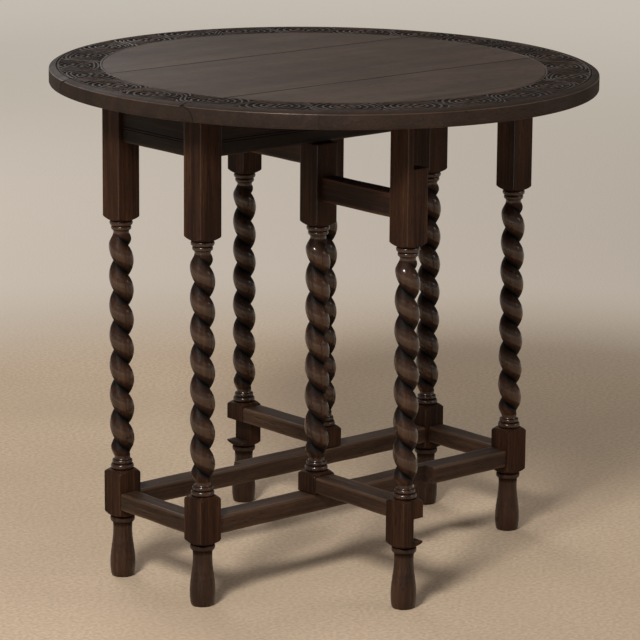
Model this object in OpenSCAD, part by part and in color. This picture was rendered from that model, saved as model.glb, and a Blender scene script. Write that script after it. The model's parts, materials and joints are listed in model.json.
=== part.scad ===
// Gateleg table: an oval top in three parts on a frame of square-blocked barley-twist legs.
// Two gates swing out from the long sides and carry the hinged leaves.
// +Z is up, +X runs along the frame, and the origin is on the floor under the middle of the top.

/* [Top] */
// Height of the table top above the floor
table_h = 737; // [640:1:900]
// Length of the oval top along the frame (X)
top_len = 786; // [700:1:960]
// Length of the oval top across the frame, leaves up (Y)
top_wid = 820; // [740:1:1000]
// Thickness of the top boards
top_thick = 25; // [22:0.5:32]
// Width of the fixed centre panel between the two leaf joints
panel_w = 264; // [256:1:300]
// Distance of each leaf's glue seam from the middle of the top
seam_y = 300; // [250:1:330]
// Depth of the square step at the top of the rule joint
rule_fillet = 4; // [3:0.5:6]
// Gap between the leaf and the panel, all along the rule joint
rule_gap = 1.2; // [1:0.1:2]

/* [Frame] */
// Distance between leg centres along X
leg_span_x = 602; // [520:1:730]
// Distance between leg centres along Y
leg_span_y = 186; // [180:1:210]
// Side of the square blocks of the legs
leg_size = 38; // [34:0.5:46]
// Depth of the apron boards below the top
apron_h = 64; // [54:1:90]
// Thickness of the apron boards
apron_t = 20; // [18:0.5:24]
// Set-back of the long aprons behind the outer faces of the legs
long_apron_recess = 11.5; // [9:0.5:13]
// Set-back of the end aprons behind the outer faces of the legs
end_apron_recess = 7; // [5:0.5:10]
// Height of the scratched line above the lower edge of each apron
scratch_line_h = 20; // [12:1:30]
// Height of the undersides of the stretchers above the floor
stretcher_z = 104; // [98:1:120]
// Height of the stretcher section
stretcher_h = 26; // [22:1:30]
// Width of the long stretchers
long_stretcher_w = 35; // [30:0.5:35]
// Width of the end stretchers
end_stretcher_w = 30; // [24:0.5:32]

/* [Legs] */
// Height of the undersides of the lower square blocks
low_block_z = 92; // [84:1:98]
// Height of the tops of the lower square blocks
low_block_top = 162; // [160:1:190]
// Length of the upper square blocks of the frame legs
high_block_len = 180; // [120:1:220]
// Length of the turned collars above and below each twist
collar_len = 19; // [16:0.5:24]
// Largest diameter of the collars
collar_d = 34; // [30:0.5:36]
// Largest diameter of the feet
foot_d = 37; // [34:0.5:44]
// Outer diameter of the barley twist
twist_d = 36; // [32:0.5:37]
// Diameter across the bottom of the twist's groove
twist_core_d = 18; // [16:0.5:24]
// Rise of the twist in one turn
twist_pitch = 44; // [36:1:60]

/* [Gates] */
// Distance of each gate's pivot from the middle of the frame along X
pivot_x = 88; // [80:1:100]
// Distance from the pivot to the middle of the gate leg
gate_span = 192; // [170:1:230]
// Thickness of each gate's upper rail
gate_rail_t = 26; // [20:1:28]
// Height of each gate's upper rail
gate_rail_h = 36; // [30:1:46]
// Height of the underside of each gate's upper rail
gate_rail_z = 564; // [530:1:600]
// Width of each gate's lower stretcher
gate_stretcher_w = 36; // [30:0.5:36]
// Height of each gate's lower stretcher
gate_stretcher_h = 24; // [20:1:26]
// Diameter of the pivot pins
pivot_pin_d = 9; // [7:0.5:10]
// Thickness of the gate leg that stays in front of the long stretcher
gate_lap_keep = 20; // [16:0.5:22]

/* [Hinges] */
// Distance of the leaf hinges from the middle along X
hinge_x = 240; // [200:1:260]
// Length of each hinge along its pin
hinge_len = 40; // [34:1:50]
// Thickness of the hinge plates
hinge_plate_t = 2; // [1.5:0.1:2.5]
// Outer diameter of the hinge knuckles
knuckle_d = 6; // [5.5:0.1:6.5]
// Diameter of the hinge pins
hinge_pin_d = 3; // [2.5:0.1:3.5]
// Width of the plate on the fixed panel
fixed_plate_w = 26; // [22:1:28]
// Width of the plate on the leaf
leaf_plate_w = 56; // [48:1:70]

/* [Fits] */
// Clearance between a glued tenon and its mortise
tenon_fit = 0.15; // [0.1:0.05:0.3]
// Radial clearance of pins that turn
running_fit = 0.08; // [0.05:0.01:0.1]
// Radial clearance of pins and screws that stay put
pin_fit = 0.05; // [0.03:0.01:0.1]
// Clearance between parts that pass each other
swing_gap = 1; // [0.6:0.1:1.5]
// Clearance between a gate and the parts that it turns under and over
rest_gap = 0.5; // [0.4:0.1:0.8]

/* [Hidden] */

oak = "#4a3223";
oak_top = "#5b4636";
oak_dark = "#33241b";
iron = "#3a3a3c";

eps = 0.5;          // how far a cutting shape runs past the face that it opens

// Frame planes
top_under = table_h - top_thick;
leg_x = leg_span_x / 2;
leg_y = leg_span_y / 2;
leg_half = leg_size / 2;
outer_x = leg_x + leg_half;
outer_y = leg_y + leg_half;
apron_z = top_under - apron_h;
long_apron_out = outer_y - long_apron_recess;
end_apron_out = outer_x - end_apron_recess;
stretcher_top = stretcher_z + stretcher_h;
long_stretcher_out = outer_y - 3;
end_stretcher_out = outer_x - 1;
high_block_z = top_under - high_block_len;

// Tenons: long ones lie in X, end ones in Y, and they miss each other inside the leg
tenon_end_gap = 1;
long_tenon_len = leg_half - 3;
end_tenon_len = leg_half - 1;
apron_tenon_t = 8;
apron_tenon_edge = 8;
long_apron_tenon_in = long_apron_out - apron_t / 2 - apron_tenon_t / 2;
end_tenon_in = leg_x - 1;
stretcher_tenon_t = 10;
stretcher_tenon_edge = 4;
long_stretcher_tenon_in = leg_y - stretcher_tenon_t / 2;

// Turned shapes
shoulder_h = 7;
bead_n = 5;
collar_neck_d = 23;
foot_bulge_z = 26;
foot_neck_d = 26;
foot_collar_h = 10;
foot_base_d = foot_d * 0.85;
twist_sides = 10;
twist_steps = 8;

// Gates: each is drawn open, turned about its pivot, in the place of the front gate
gate_low_z = stretcher_top + rest_gap;
gate_high_z = apron_z - rest_gap;
gate_leg_top = top_under - rest_gap;
gate_block_z = high_block_z - 5;
gate_rail_set = 8;
gate_rail_x = gate_rail_set - leg_half;
gate_stretcher_z = stretcher_top + 3;
gate_stretcher_top = gate_stretcher_z + gate_stretcher_h;
gate_tongue_t = long_apron_recess - swing_gap;
gate_notch_top_z = apron_z - 10;
gate_notch_low_top = gate_stretcher_z + 1;
gate_notch_low_z = stretcher_z - 5;
gate_tenon_t = 10;
gate_tenon_len = leg_half - pivot_pin_d / 2 - 2.5;
gate_tenon_edge = 4;
lap_depth = gate_lap_keep + swing_gap - (outer_y - long_stretcher_out);
lap_half = leg_half + 8;
closed_leg_x = gate_span - pivot_x;
pin_in_post = 20;
pin_in_frame = 16;

// Rule joint: the hinge pin lies on the centre of the joint's arc
rule_y = panel_w / 2;
rule_z = top_under + knuckle_d / 2;
rule_r = table_h - rule_fillet - rule_z;

// Gate stops under the leaves
stop_w = 20;
stop_l = 50;
stop_h = 12;
stop_in = leg_half + rest_gap;
stop_shift = 15;

// Wood screws
screw_d = 3.6;
screw_head_d = 7;
hinge_screw_len = 16;
block_w = 22;
block_l = 60;
block_xs = [-200, 0, 200];
block_screw_len = 34;

function arc(cx, cz, r, a0, a1, n = bead_n) =
    [for (i = [0:n]) [cx + r * cos(a0 + (a1 - a0) * i / n), cz + r * sin(a0 + (a1 - a0) * i / n)]];

// ---------------------------------------------------------------- top

module top_outline(z0, z1) {
    translate([0, 0, z0])
        linear_extrude(z1 - z0)
            polygon([for (i = [0:119]) [top_len / 2 * cos(3 * i), top_wid / 2 * sin(3 * i)]]);
}

// Half-space box on the outer side of y, on the front (side -1) or the back (side 1)
module beyond(side, y, z0 = -1, z1 = 2000) {
    translate([-top_len, side > 0 ? y : -y - top_wid, z0]) cube([2 * top_len, top_wid, z1 - z0]);
}

module rule_cylinder(side, r) {
    translate([-top_len, side * rule_y, rule_z])
        rotate([0, 90, 0]) cylinder(h = 2 * top_len, r = r, $fn = 96);
}

// Thumb of the rule joint, which stands out under the leaf
module rule_thumb(side) {
    intersection() {
        union() {
            rule_cylinder(side, rule_r);
            translate([-top_len, side * rule_y - rule_r, top_under - 1])
                cube([2 * top_len, 2 * rule_r, knuckle_d / 2 + 1]);
        }
        beyond(side, rule_y - 1);
        top_outline(top_under, table_h - rule_fillet);
    }
}

module top_panel() {
    color(oak_top) difference() {
        union() {
            intersection() {
                top_outline(top_under, table_h);
                translate([-top_len, -rule_y, 0]) cube([2 * top_len, panel_w, table_h + 1]);
            }
            for (side = [-1, 1]) rule_thumb(side);
        }
        for (side = [-1, 1])
            for (end = [-1, 1]) hinge_pocket_panel(side, end);
        hinge_screws(-1, false, pin_fit);
        hinge_screws(1, false, pin_fit);
        panel_screw_set(pin_fit);
    }
}

module leaf_inner(side) {
    color(oak_top) difference() {
        intersection() {
            top_outline(top_under, table_h);
            beyond(side, rule_y + rule_gap);
        }
        beyond(side, seam_y);
        rule_cylinder(side, rule_r + rule_gap);
        translate([-top_len, side * rule_y - rule_r - rule_gap, top_under - 1])
            cube([2 * top_len, 2 * (rule_r + rule_gap), knuckle_d / 2 + 1]);
        for (end = [-1, 1]) hinge_pocket_leaf(side, end);
        hinge_screws(side, true, pin_fit);
        gate_side(side) stop_screw_set(pin_fit);
    }
}

module leaf_outer(side) {
    color(oak_top) difference() {
        intersection() {
            top_outline(top_under, table_h);
            beyond(side, seam_y);
        }
        gate_side(side) stop_screw_set(pin_fit);
    }
}

// ---------------------------------------------------------------- leaf hinges

// Puts its children at a hinge: X along the pin, +Y towards the leaf, Z = 0 on the underside
module at_hinge(side, end) {
    translate([end * hinge_x, side * rule_y, top_under]) mirror([0, side > 0 ? 0 : 1, 0]) children();
}

knuckle_gap = 0.4;
knuckle_n = 3;
knuckle_len = (hinge_len - (knuckle_n - 1) * knuckle_gap) / knuckle_n;

module knuckle(i) {
    translate([-hinge_len / 2 + i * (knuckle_len + knuckle_gap), 0, knuckle_d / 2])
        rotate([0, 90, 0]) cylinder(h = knuckle_len, d = knuckle_d, $fn = 48);
}

module knuckle_tab(i, y) {
    translate([-hinge_len / 2 + i * (knuckle_len + knuckle_gap), min(0, y), 0])
        cube([knuckle_len, abs(y), hinge_plate_t]);
}

module pin_bore(r) {
    translate([-hinge_len, 0, knuckle_d / 2])
        rotate([0, 90, 0]) cylinder(h = 2 * hinge_len, r = r, $fn = 48);
}

plate_in = knuckle_d / 2 + 0.6;      // nearest edge of a plate to the pin

module hinge_fixed(side, end) {
    color(iron) at_hinge(side, end) difference() {
        union() {
            for (i = [0, 2]) {
                knuckle(i);
                knuckle_tab(i, -plate_in - 1);
            }
            translate([-hinge_len / 2, -fixed_plate_w, 0])
                cube([hinge_len, fixed_plate_w - plate_in, hinge_plate_t]);
        }
        pin_bore(hinge_pin_d / 2 + pin_fit);
        hinge_screw_row(false, pin_fit);
    }
}

module hinge_leaf(side, end) {
    color(iron) at_hinge(side, end) difference() {
        union() {
            knuckle(1);
            knuckle_tab(1, plate_in + 1);
            translate([-hinge_len / 2, plate_in, 0])
                cube([hinge_len, leaf_plate_w - plate_in, hinge_plate_t]);
        }
        pin_bore(hinge_pin_d / 2 + running_fit);
        hinge_screw_row(true, pin_fit);
    }
}

module hinge_pin(side, end) {
    color(iron) at_hinge(side, end)
        translate([-hinge_len / 2, 0, knuckle_d / 2])
            rotate([0, 90, 0]) cylinder(h = hinge_len, d = hinge_pin_d, $fn = 48);
}

// Pocket in the panel: the fixed plate fits it, and the leaf's plate turns in its outer part
module hinge_pocket_panel(side, end) {
    w = hinge_len + 2 * rest_gap;
    at_hinge(side, end) {
        translate([-w / 2, -fixed_plate_w - pin_fit, -1])
            cube([w, fixed_plate_w, hinge_plate_t + 1 + pin_fit]);
        translate([-w / 2, -plate_in, -1]) cube([w, 2 * plate_in, knuckle_d + 1 + rest_gap]);
        translate([-w / 2, 0, -1]) cube([w, rule_r + 1, hinge_plate_t + 1 + swing_gap]);
    }
}

module hinge_pocket_leaf(side, end) {
    w = hinge_len + 2 * pin_fit;
    at_hinge(side, end)
        translate([-w / 2, 0, -1]) cube([w, leaf_plate_w + pin_fit, hinge_plate_t + 1 + pin_fit]);
}

// One countersunk wood screw, head down at Z = 0, with a clearance added all round
module wood_screw(len, fit) {
    head_h = (screw_head_d - screw_d) / 2;
    translate([0, 0, fit > 0 ? -fit : 0])
        cylinder(h = head_h + 2 * fit, d1 = screw_head_d + 6 * fit, d2 = screw_d + 2 * fit, $fn = 32);
    cylinder(h = len + fit, d = screw_d + 2 * fit, $fn = 32);
}

module hinge_screw_row(on_leaf, fit) {
    near = on_leaf ? rule_r + rule_gap + 7 : -fixed_plate_w + 7;
    far = on_leaf ? leaf_plate_w - 7 : near;
    middle = on_leaf ? far : -plate_in - 7;
    for (end = [-1, 1]) translate([end * hinge_len * 0.32, near, 0]) wood_screw(hinge_screw_len, fit);
    translate([0, middle, 0]) wood_screw(hinge_screw_len, fit);
}

module hinge_screws(side, on_leaf, fit = 0) {
    color(iron) for (end = [-1, 1]) at_hinge(side, end) hinge_screw_row(on_leaf, fit);
}

// ---------------------------------------------------------------- turned work

// Square block between two heights, with turned shoulders where low or high is true
module square_block(z0, z1, low, high) {
    r = leg_size * 0.75;
    intersection() {
        translate([-leg_half, -leg_half, z0]) cube([leg_size, leg_size, z1 - z0]);
        union() {
            translate([0, 0, z0 + (low ? shoulder_h : 0) - 0.01])
                cylinder(h = z1 - z0 - (low ? shoulder_h : 0) - (high ? shoulder_h : 0) + 0.02,
                         r = r, $fn = 64);
            if (low) translate([0, 0, z0]) cylinder(h = shoulder_h, d1 = collar_d, r2 = r, $fn = 64);
            if (high) translate([0, 0, z1 - shoulder_h])
                cylinder(h = shoulder_h, r1 = r, d2 = collar_d, $fn = 64);
        }
    }
}

// Collar: a ring against the block, then a smaller bead and a neck; up is the way from block to twist
module collar(z, up) {
    ring_r = collar_len * 0.21;
    bead_r = collar_len * 0.13;
    bead_z = 2 * ring_r + bead_r;
    translate([0, 0, z]) mirror([0, 0, up ? 0 : 1]) rotate_extrude($fn = 64)
        polygon(concat(
            [[0, -1], [collar_neck_d / 2, -1]],
            arc(collar_d / 2 - ring_r, ring_r, ring_r, -90, 90),
            arc(collar_d / 2 - 2 - bead_r, bead_z, bead_r, -90, 90),
            [[collar_neck_d / 2, bead_z + 2 * bead_r], [collar_neck_d / 2, collar_len + 1],
             [0, collar_len + 1]]));
}

// Left-hand single twist: a round bine with one sharp groove
module twist(z0, z1) {
    turns = (z1 - z0) / twist_pitch;
    r0 = twist_core_d / 2;
    r1 = twist_d / 2;
    translate([0, 0, z0])
        linear_extrude(z1 - z0, twist = 360 * turns, slices = ceil(turns * twist_steps),
                       segments = twist_sides)
            polygon([for (i = [0:twist_sides - 1])
                let (a = 360 * i / twist_sides, r = r0 + (r1 - r0) * pow(sin(a / 2), 0.75))
                [r * cos(a), r * sin(a)]]);
}

// Bulb foot with a neck and a ring under the lower block
module foot() {
    ring_z = low_block_z - foot_collar_h - 2;
    rotate_extrude($fn = 64)
        polygon([
            [0, 0], [foot_base_d / 2, 0], [foot_d / 2 - 0.6, foot_bulge_z * 0.55],
            [foot_d / 2, foot_bulge_z], [foot_d / 2 - 0.8, foot_bulge_z + 10],
            [foot_neck_d / 2 + 1.5, ring_z - 14], [foot_neck_d / 2, ring_z - 6],
            [foot_neck_d / 2, ring_z], [collar_d / 2 - 1, ring_z], [collar_d / 2, ring_z + 3],
            [collar_d / 2, ring_z + 7], [collar_d / 2 - 1, ring_z + foot_collar_h],
            [foot_neck_d / 2 + 1, ring_z + foot_collar_h + 1], [foot_neck_d / 2 + 1, low_block_z + 1],
            [0, low_block_z + 1]]);
}

// Everything above the lower block's top: collar, twist, collar and upper block
module leg_shaft(block_z, top_z, high) {
    collar(low_block_top, true);
    twist(low_block_top + collar_len, block_z - collar_len);
    collar(block_z, false);
    square_block(block_z, top_z, true, high);
}

// ---------------------------------------------------------------- frame

module frame_leg(sx, sy) {
    color(oak) difference() {
        translate([sx * leg_x, sy * leg_y, 0]) {
            foot();
            square_block(low_block_z, low_block_top, true, true);
            leg_shaft(high_block_z, top_under, false);
        }
        long_tenon(sx, sy, apron_z, apron_h, apron_tenon_edge,
                   long_apron_tenon_in, apron_tenon_t, tenon_fit);
        end_tenon(sx, sy, apron_z, apron_h, apron_tenon_edge, apron_tenon_t, tenon_fit);
        long_tenon(sx, sy, stretcher_z, stretcher_h, stretcher_tenon_edge,
                   long_stretcher_tenon_in, stretcher_tenon_t, tenon_fit);
        end_tenon(sx, sy, stretcher_z, stretcher_h, stretcher_tenon_edge,
                  stretcher_tenon_t, tenon_fit);
    }
}

// Puts a box, given by its outward ranges, in one quarter of the plan
module quarter_box(sx, sy, x0, x1, y0, y1, z0, z1) {
    translate([sx > 0 ? x0 : -x1, sy > 0 ? y0 : -y1, z0]) cube([x1 - x0, y1 - y0, z1 - z0]);
}

// Tenon of a long rail in one leg; with a fit it is the leg's mortise
module long_tenon(sx, sy, z, h, edge, y0, t, fit = 0) {
    x0 = leg_x - leg_half;
    quarter_box(sx, sy, x0 - (fit > 0 ? eps : 1), x0 + long_tenon_len + (fit > 0 ? tenon_end_gap : 0),
                y0 - fit, y0 + t + fit, z + edge - fit, z + h - edge + fit);
}

module end_tenon(sx, sy, z, h, edge, t, fit = 0) {
    y0 = leg_y - leg_half;
    quarter_box(sx, sy, end_tenon_in - fit, end_tenon_in + t + fit,
                y0 - (fit > 0 ? eps : 1), y0 + end_tenon_len + (fit > 0 ? tenon_end_gap : 0),
                z + edge - fit, z + h - edge + fit);
}

module long_apron(sy) {
    line_d = 1.5;
    color(oak) difference() {
        union() {
            translate([-leg_x + leg_half, sy > 0 ? long_apron_out - apron_t : -long_apron_out, apron_z])
                cube([leg_span_x - leg_size, apron_t, apron_h]);
            for (sx = [-1, 1])
                long_tenon(sx, sy, apron_z, apron_h, apron_tenon_edge,
                           long_apron_tenon_in, apron_tenon_t);
        }
        translate([-leg_x, sy > 0 ? long_apron_out - line_d : -long_apron_out - eps,
                   apron_z + scratch_line_h])
            cube([leg_span_x, line_d + eps, 2 * line_d]);
        gate_side(sy) gate_pin_top(running_fit);
    }
}

module end_apron(sx) {
    line_d = 1.5;
    color(oak) difference() {
        union() {
            translate([sx > 0 ? end_apron_out - apron_t : -end_apron_out, -leg_y + leg_half, apron_z])
                cube([apron_t, leg_span_y - leg_size, apron_h]);
            for (sy = [-1, 1]) end_tenon(sx, sy, apron_z, apron_h, apron_tenon_edge, apron_tenon_t);
        }
        translate([sx > 0 ? end_apron_out - line_d : -end_apron_out - eps, -leg_y,
                   apron_z + scratch_line_h])
            cube([line_d + eps, leg_span_y, 2 * line_d]);
    }
}

module long_stretcher(sy) {
    color(oak) difference() {
        union() {
            translate([-leg_x + leg_half,
                       sy > 0 ? long_stretcher_out - long_stretcher_w : -long_stretcher_out,
                       stretcher_z])
                cube([leg_span_x - leg_size, long_stretcher_w, stretcher_h]);
            for (sx = [-1, 1])
                long_tenon(sx, sy, stretcher_z, stretcher_h, stretcher_tenon_edge,
                           long_stretcher_tenon_in, stretcher_tenon_t);
        }
        gate_side(sy) {
            gate_pin_bottom(running_fit);
            translate([gate_span - lap_half, -leg_half - eps, stretcher_z - 1])
                cube([2 * lap_half, gate_lap_keep + swing_gap + eps, stretcher_h + 2]);
        }
    }
}

module end_stretcher(sx) {
    color(oak) union() {
        translate([sx > 0 ? end_stretcher_out - end_stretcher_w : -end_stretcher_out,
                   -leg_y + leg_half, stretcher_z])
            cube([end_stretcher_w, leg_span_y - leg_size, stretcher_h]);
        for (sy = [-1, 1])
            end_tenon(sx, sy, stretcher_z, stretcher_h, stretcher_tenon_edge, stretcher_tenon_t);
    }
}

// Blocks glued in the corner between the long aprons and the panel, one screw in each
module glue_blocks() {
    color(oak_dark) difference() {
        for (sy = [-1, 1]) for (x = block_xs)
            translate([x - block_l / 2,
                       sy > 0 ? long_apron_out - apron_t - block_w : -long_apron_out + apron_t,
                       top_under - block_w])
                cube([block_l, block_w, block_w]);
        panel_screw_set(pin_fit);
    }
}

module panel_screw_set(fit = 0) {
    for (sy = [-1, 1]) for (x = block_xs)
        translate([x, sy * (long_apron_out - apron_t - block_w / 2), top_under - block_w])
            wood_screw(block_screw_len, fit);
}

module panel_screws() {
    color(iron) panel_screw_set();
}

// ---------------------------------------------------------------- gates

// Puts its children, drawn about the pivot of the front gate, on the front or the back
module gate_side(side) {
    rotate([0, 0, side > 0 ? 180 : 0]) translate([-pivot_x, -leg_y, 0]) children();
}

module gate_pin_top(fit = 0) {
    translate([0, 0, gate_high_z - pin_in_post - fit])
        cylinder(h = pin_in_post + pin_in_frame + 2 * fit, r = pivot_pin_d / 2 + fit, $fn = 48);
}

module gate_pin_bottom(fit = 0) {
    translate([0, 0, gate_low_z - pin_in_frame - fit])
        cylinder(h = pin_in_post + pin_in_frame + 2 * fit, r = pivot_pin_d / 2 + fit, $fn = 48);
}

// Tenons of a gate rail at both ends; with a fit they are the mortises
module gate_tenons(x, z, h, fit = 0) {
    deep = gate_tenon_len + (fit > 0 ? tenon_end_gap : 0);
    root = fit > 0 ? eps : 1;
    for (y = [-leg_half - root, -gate_span + leg_half - deep])
        translate([x - gate_tenon_t / 2 - fit, y, z + gate_tenon_edge - fit])
            cube([gate_tenon_t + 2 * fit, deep + root, h - 2 * gate_tenon_edge + 2 * fit]);
}

module gate_rail_tenons(fit = 0) {
    gate_tenons(gate_rail_x + gate_rail_t / 2, gate_rail_z, gate_rail_h, fit);
}

module gate_stretcher_tenons(fit = 0) {
    gate_tenons(0, gate_stretcher_z, gate_stretcher_h, fit);
}

module gate_post(side) {
    color(oak) gate_side(side) difference() {
        union() {
            square_block(gate_low_z, low_block_top, false, true);
            leg_shaft(gate_block_z, gate_high_z, false);
        }
        gate_pin_top(pin_fit);
        gate_pin_bottom(pin_fit);
        gate_rail_tenons(tenon_fit);
        gate_stretcher_tenons(tenon_fit);
    }
}

module gate_leg(side) {
    color(oak) gate_side(side) difference() {
        translate([0, -gate_span, 0]) difference() {
            union() {
                foot();
                square_block(low_block_z, low_block_top, true, true);
                leg_shaft(gate_block_z, gate_leg_top, false);
            }
            translate([-leg_half + gate_tongue_t, -leg_half - eps, gate_notch_top_z])
                cube([leg_size, leg_size + 2 * eps, table_h]);
            translate([-leg_half + gate_lap_keep, -leg_half - eps, gate_notch_low_z])
                cube([leg_size, leg_size + 2 * eps, gate_notch_low_top - gate_notch_low_z]);
        }
        gate_rail_tenons(tenon_fit);
        gate_stretcher_tenons(tenon_fit);
    }
}

module gate_rail(side) {
    color(oak) gate_side(side) union() {
        translate([gate_rail_x, -gate_span + leg_half, gate_rail_z])
            cube([gate_rail_t, gate_span - leg_size, gate_rail_h]);
        gate_rail_tenons();
    }
}

module gate_stretcher(side) {
    color(oak) gate_side(side) union() {
        translate([-gate_stretcher_w / 2, -gate_span + leg_half, gate_stretcher_z])
            cube([gate_stretcher_w, gate_span - leg_size, gate_stretcher_h]);
        gate_stretcher_tenons();
    }
}

module gate_pin(side, top) {
    color(iron) gate_side(side) {
        if (top) gate_pin_top();
        else gate_pin_bottom();
    }
}

// Block under the leaf that the open gate leg rests against
module stop_screw_set(fit = 0) {
    for (dy = [-1, 1])
        translate([-stop_in - stop_w / 2, -gate_span + stop_shift + dy * stop_l * 0.3,
                   top_under - stop_h])
            wood_screw(stop_h + 12, fit);
}

module gate_stop(side) {
    color(oak_dark) gate_side(side) difference() {
        translate([-stop_in - stop_w, -gate_span + stop_shift - stop_l / 2, top_under - stop_h])
            cube([stop_w, stop_l, stop_h]);
        stop_screw_set(pin_fit);
    }
}

module gate_stop_screws(side) {
    color(iron) gate_side(side) stop_screw_set();
}

// ---------------------------------------------------------------- nodes

top_panel();
leaf_inner(-1);  // leaf_front_inner
leaf_outer(-1);  // leaf_front_outer
leaf_inner(1);  // leaf_back_inner
leaf_outer(1);  // leaf_back_outer
frame_leg(-1, -1);  // leg_front_left
frame_leg(1, -1);  // leg_front_right
frame_leg(-1, 1);  // leg_back_left
frame_leg(1, 1);  // leg_back_right
long_apron(-1);  // apron_front
long_apron(1);  // apron_back
end_apron(-1);  // apron_left
end_apron(1);  // apron_right
long_stretcher(-1);  // stretcher_front
long_stretcher(1);  // stretcher_back
end_stretcher(-1);  // stretcher_left
end_stretcher(1);  // stretcher_right
glue_blocks();
panel_screws();
hinge_fixed(-1, -1);  // hinge_front_left_fixed
hinge_leaf(-1, -1);  // hinge_front_left_leaf
hinge_pin(-1, -1);  // hinge_front_left_pin
hinge_fixed(-1, 1);  // hinge_front_right_fixed
hinge_leaf(-1, 1);  // hinge_front_right_leaf
hinge_pin(-1, 1);  // hinge_front_right_pin
hinge_fixed(1, -1);  // hinge_back_left_fixed
hinge_leaf(1, -1);  // hinge_back_left_leaf
hinge_pin(1, -1);  // hinge_back_left_pin
hinge_fixed(1, 1);  // hinge_back_right_fixed
hinge_leaf(1, 1);  // hinge_back_right_leaf
hinge_pin(1, 1);  // hinge_back_right_pin
union() {  // hinge_screws_panel
    hinge_screws(-1, false);
    hinge_screws(1, false);
}
hinge_screws(-1, true);  // hinge_screws_leaf_front
hinge_screws(1, true);  // hinge_screws_leaf_back
gate_post(-1);  // gate_front_post
gate_leg(-1);  // gate_front_leg
gate_rail(-1);  // gate_front_rail
gate_stretcher(-1);  // gate_front_stretcher
gate_pin(-1, true);  // gate_front_pin_top
gate_pin(-1, false);  // gate_front_pin_bottom
gate_post(1);  // gate_back_post
gate_leg(1);  // gate_back_leg
gate_rail(1);  // gate_back_rail
gate_stretcher(1);  // gate_back_stretcher
gate_pin(1, true);  // gate_back_pin_top
gate_pin(1, false);  // gate_back_pin_bottom
gate_stop(-1);  // gate_stop_front
gate_stop_screws(-1);  // gate_stop_front_screws
gate_stop(1);  // gate_stop_back
gate_stop_screws(1);  // gate_stop_back_screws
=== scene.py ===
"""Gateleg table with a carved oval top and barley-twist legs.

Lengths in the shape code are millimetres, as in the CAD source; objects are made in metres.
Every wooden part is a closed mesh of its own, placed from the CAD node that it stands for.
"""

import json
import math

import bpy
import numpy as np
from mathutils import Matrix, Vector

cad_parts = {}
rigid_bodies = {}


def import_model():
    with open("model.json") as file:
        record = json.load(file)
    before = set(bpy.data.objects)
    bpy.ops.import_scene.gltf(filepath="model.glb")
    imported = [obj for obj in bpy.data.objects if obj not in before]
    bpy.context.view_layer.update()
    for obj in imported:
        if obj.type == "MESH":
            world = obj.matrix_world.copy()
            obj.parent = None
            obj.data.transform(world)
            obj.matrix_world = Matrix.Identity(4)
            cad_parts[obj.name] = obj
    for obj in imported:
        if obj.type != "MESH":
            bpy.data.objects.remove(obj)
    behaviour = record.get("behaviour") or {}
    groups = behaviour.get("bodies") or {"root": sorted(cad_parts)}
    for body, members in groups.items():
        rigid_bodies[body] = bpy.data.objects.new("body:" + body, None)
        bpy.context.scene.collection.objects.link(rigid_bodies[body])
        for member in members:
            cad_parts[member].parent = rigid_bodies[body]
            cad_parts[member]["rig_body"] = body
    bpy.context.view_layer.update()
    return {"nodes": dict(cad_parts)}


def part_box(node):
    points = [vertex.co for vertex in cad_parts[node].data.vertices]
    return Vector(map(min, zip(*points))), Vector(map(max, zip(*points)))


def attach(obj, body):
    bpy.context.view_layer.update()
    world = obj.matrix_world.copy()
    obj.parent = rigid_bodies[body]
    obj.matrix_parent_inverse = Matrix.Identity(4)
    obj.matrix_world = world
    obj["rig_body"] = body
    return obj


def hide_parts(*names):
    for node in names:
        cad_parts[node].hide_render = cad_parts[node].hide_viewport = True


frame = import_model()

SEED = 1907
MM = 0.001
TAU = 2 * math.pi
SIDES = {"front": -1, "back": 1}
ENDS = {"left": -1, "right": 1}

# Vertex attributes that the oak reads. The wear value is 0 in a groove, where the oak paints it
# dark as shade, and 1 on a polished crest; "carve" is 0 on the ground of the carving, where the
# oak paints it dark as shade, and 1 on its crests and on plain surfaces.
PLAIN_WEAR, EDGE_WEAR = 0.6, 0.92
PLAIN = {"wear_and_shading": PLAIN_WEAR, "carve": 1.0}
MEND_ROUNDS = 3


# ---------------------------------------------------------------- helpers


def box_mm(node):
    """Lowest and highest corner of a CAD node, in millimetres."""
    lo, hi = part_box(node)
    return np.array(lo) / MM, np.array(hi) / MM


def make_object(name, verts_mm, faces, sharp_deg=35.0):
    """Mesh object from millimetre vertices, smooth shaded with sharp edges past an angle."""
    mesh = bpy.data.meshes.new(name)
    mesh.from_pydata((np.asarray(verts_mm) * MM).tolist(), [], faces)
    mesh.validate()
    mesh.shade_smooth()
    mesh.set_sharp_from_angle(angle=math.radians(sharp_deg))
    obj = bpy.data.objects.new(name, mesh)
    bpy.context.scene.collection.objects.link(obj)
    return obj


def with_attribute(obj, name, values):
    """Gives each vertex a number that the materials read."""
    layer = obj.data.attributes.new(name, "FLOAT", "POINT")
    layer.data.foreach_set("value", np.asarray(values, np.float32).reshape(-1))
    return obj


def grid_faces(rows, cols):
    """Quads of a tube of rows x cols vertices that closes round the columns."""
    r, c = np.meshgrid(np.arange(rows - 1), np.arange(cols), indexing="ij")
    n = (c + 1) % cols
    quads = np.stack([r * cols + c, r * cols + n, (r + 1) * cols + n, (r + 1) * cols + c], axis=-1)
    return quads.reshape(-1, 4).tolist()


def tube(name, rings_mm, sharp_deg=35.0):
    """Closed tube through rings of points (rows, cols, 3), capped at both ends."""
    rows, cols, _ = rings_mm.shape
    verts = rings_mm.reshape(-1, 3)
    faces = grid_faces(rows, cols)
    faces.append(list(range(cols))[::-1])
    faces.append([(rows - 1) * cols + c for c in range(cols)])
    return make_object(name, verts, faces, sharp_deg)


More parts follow.
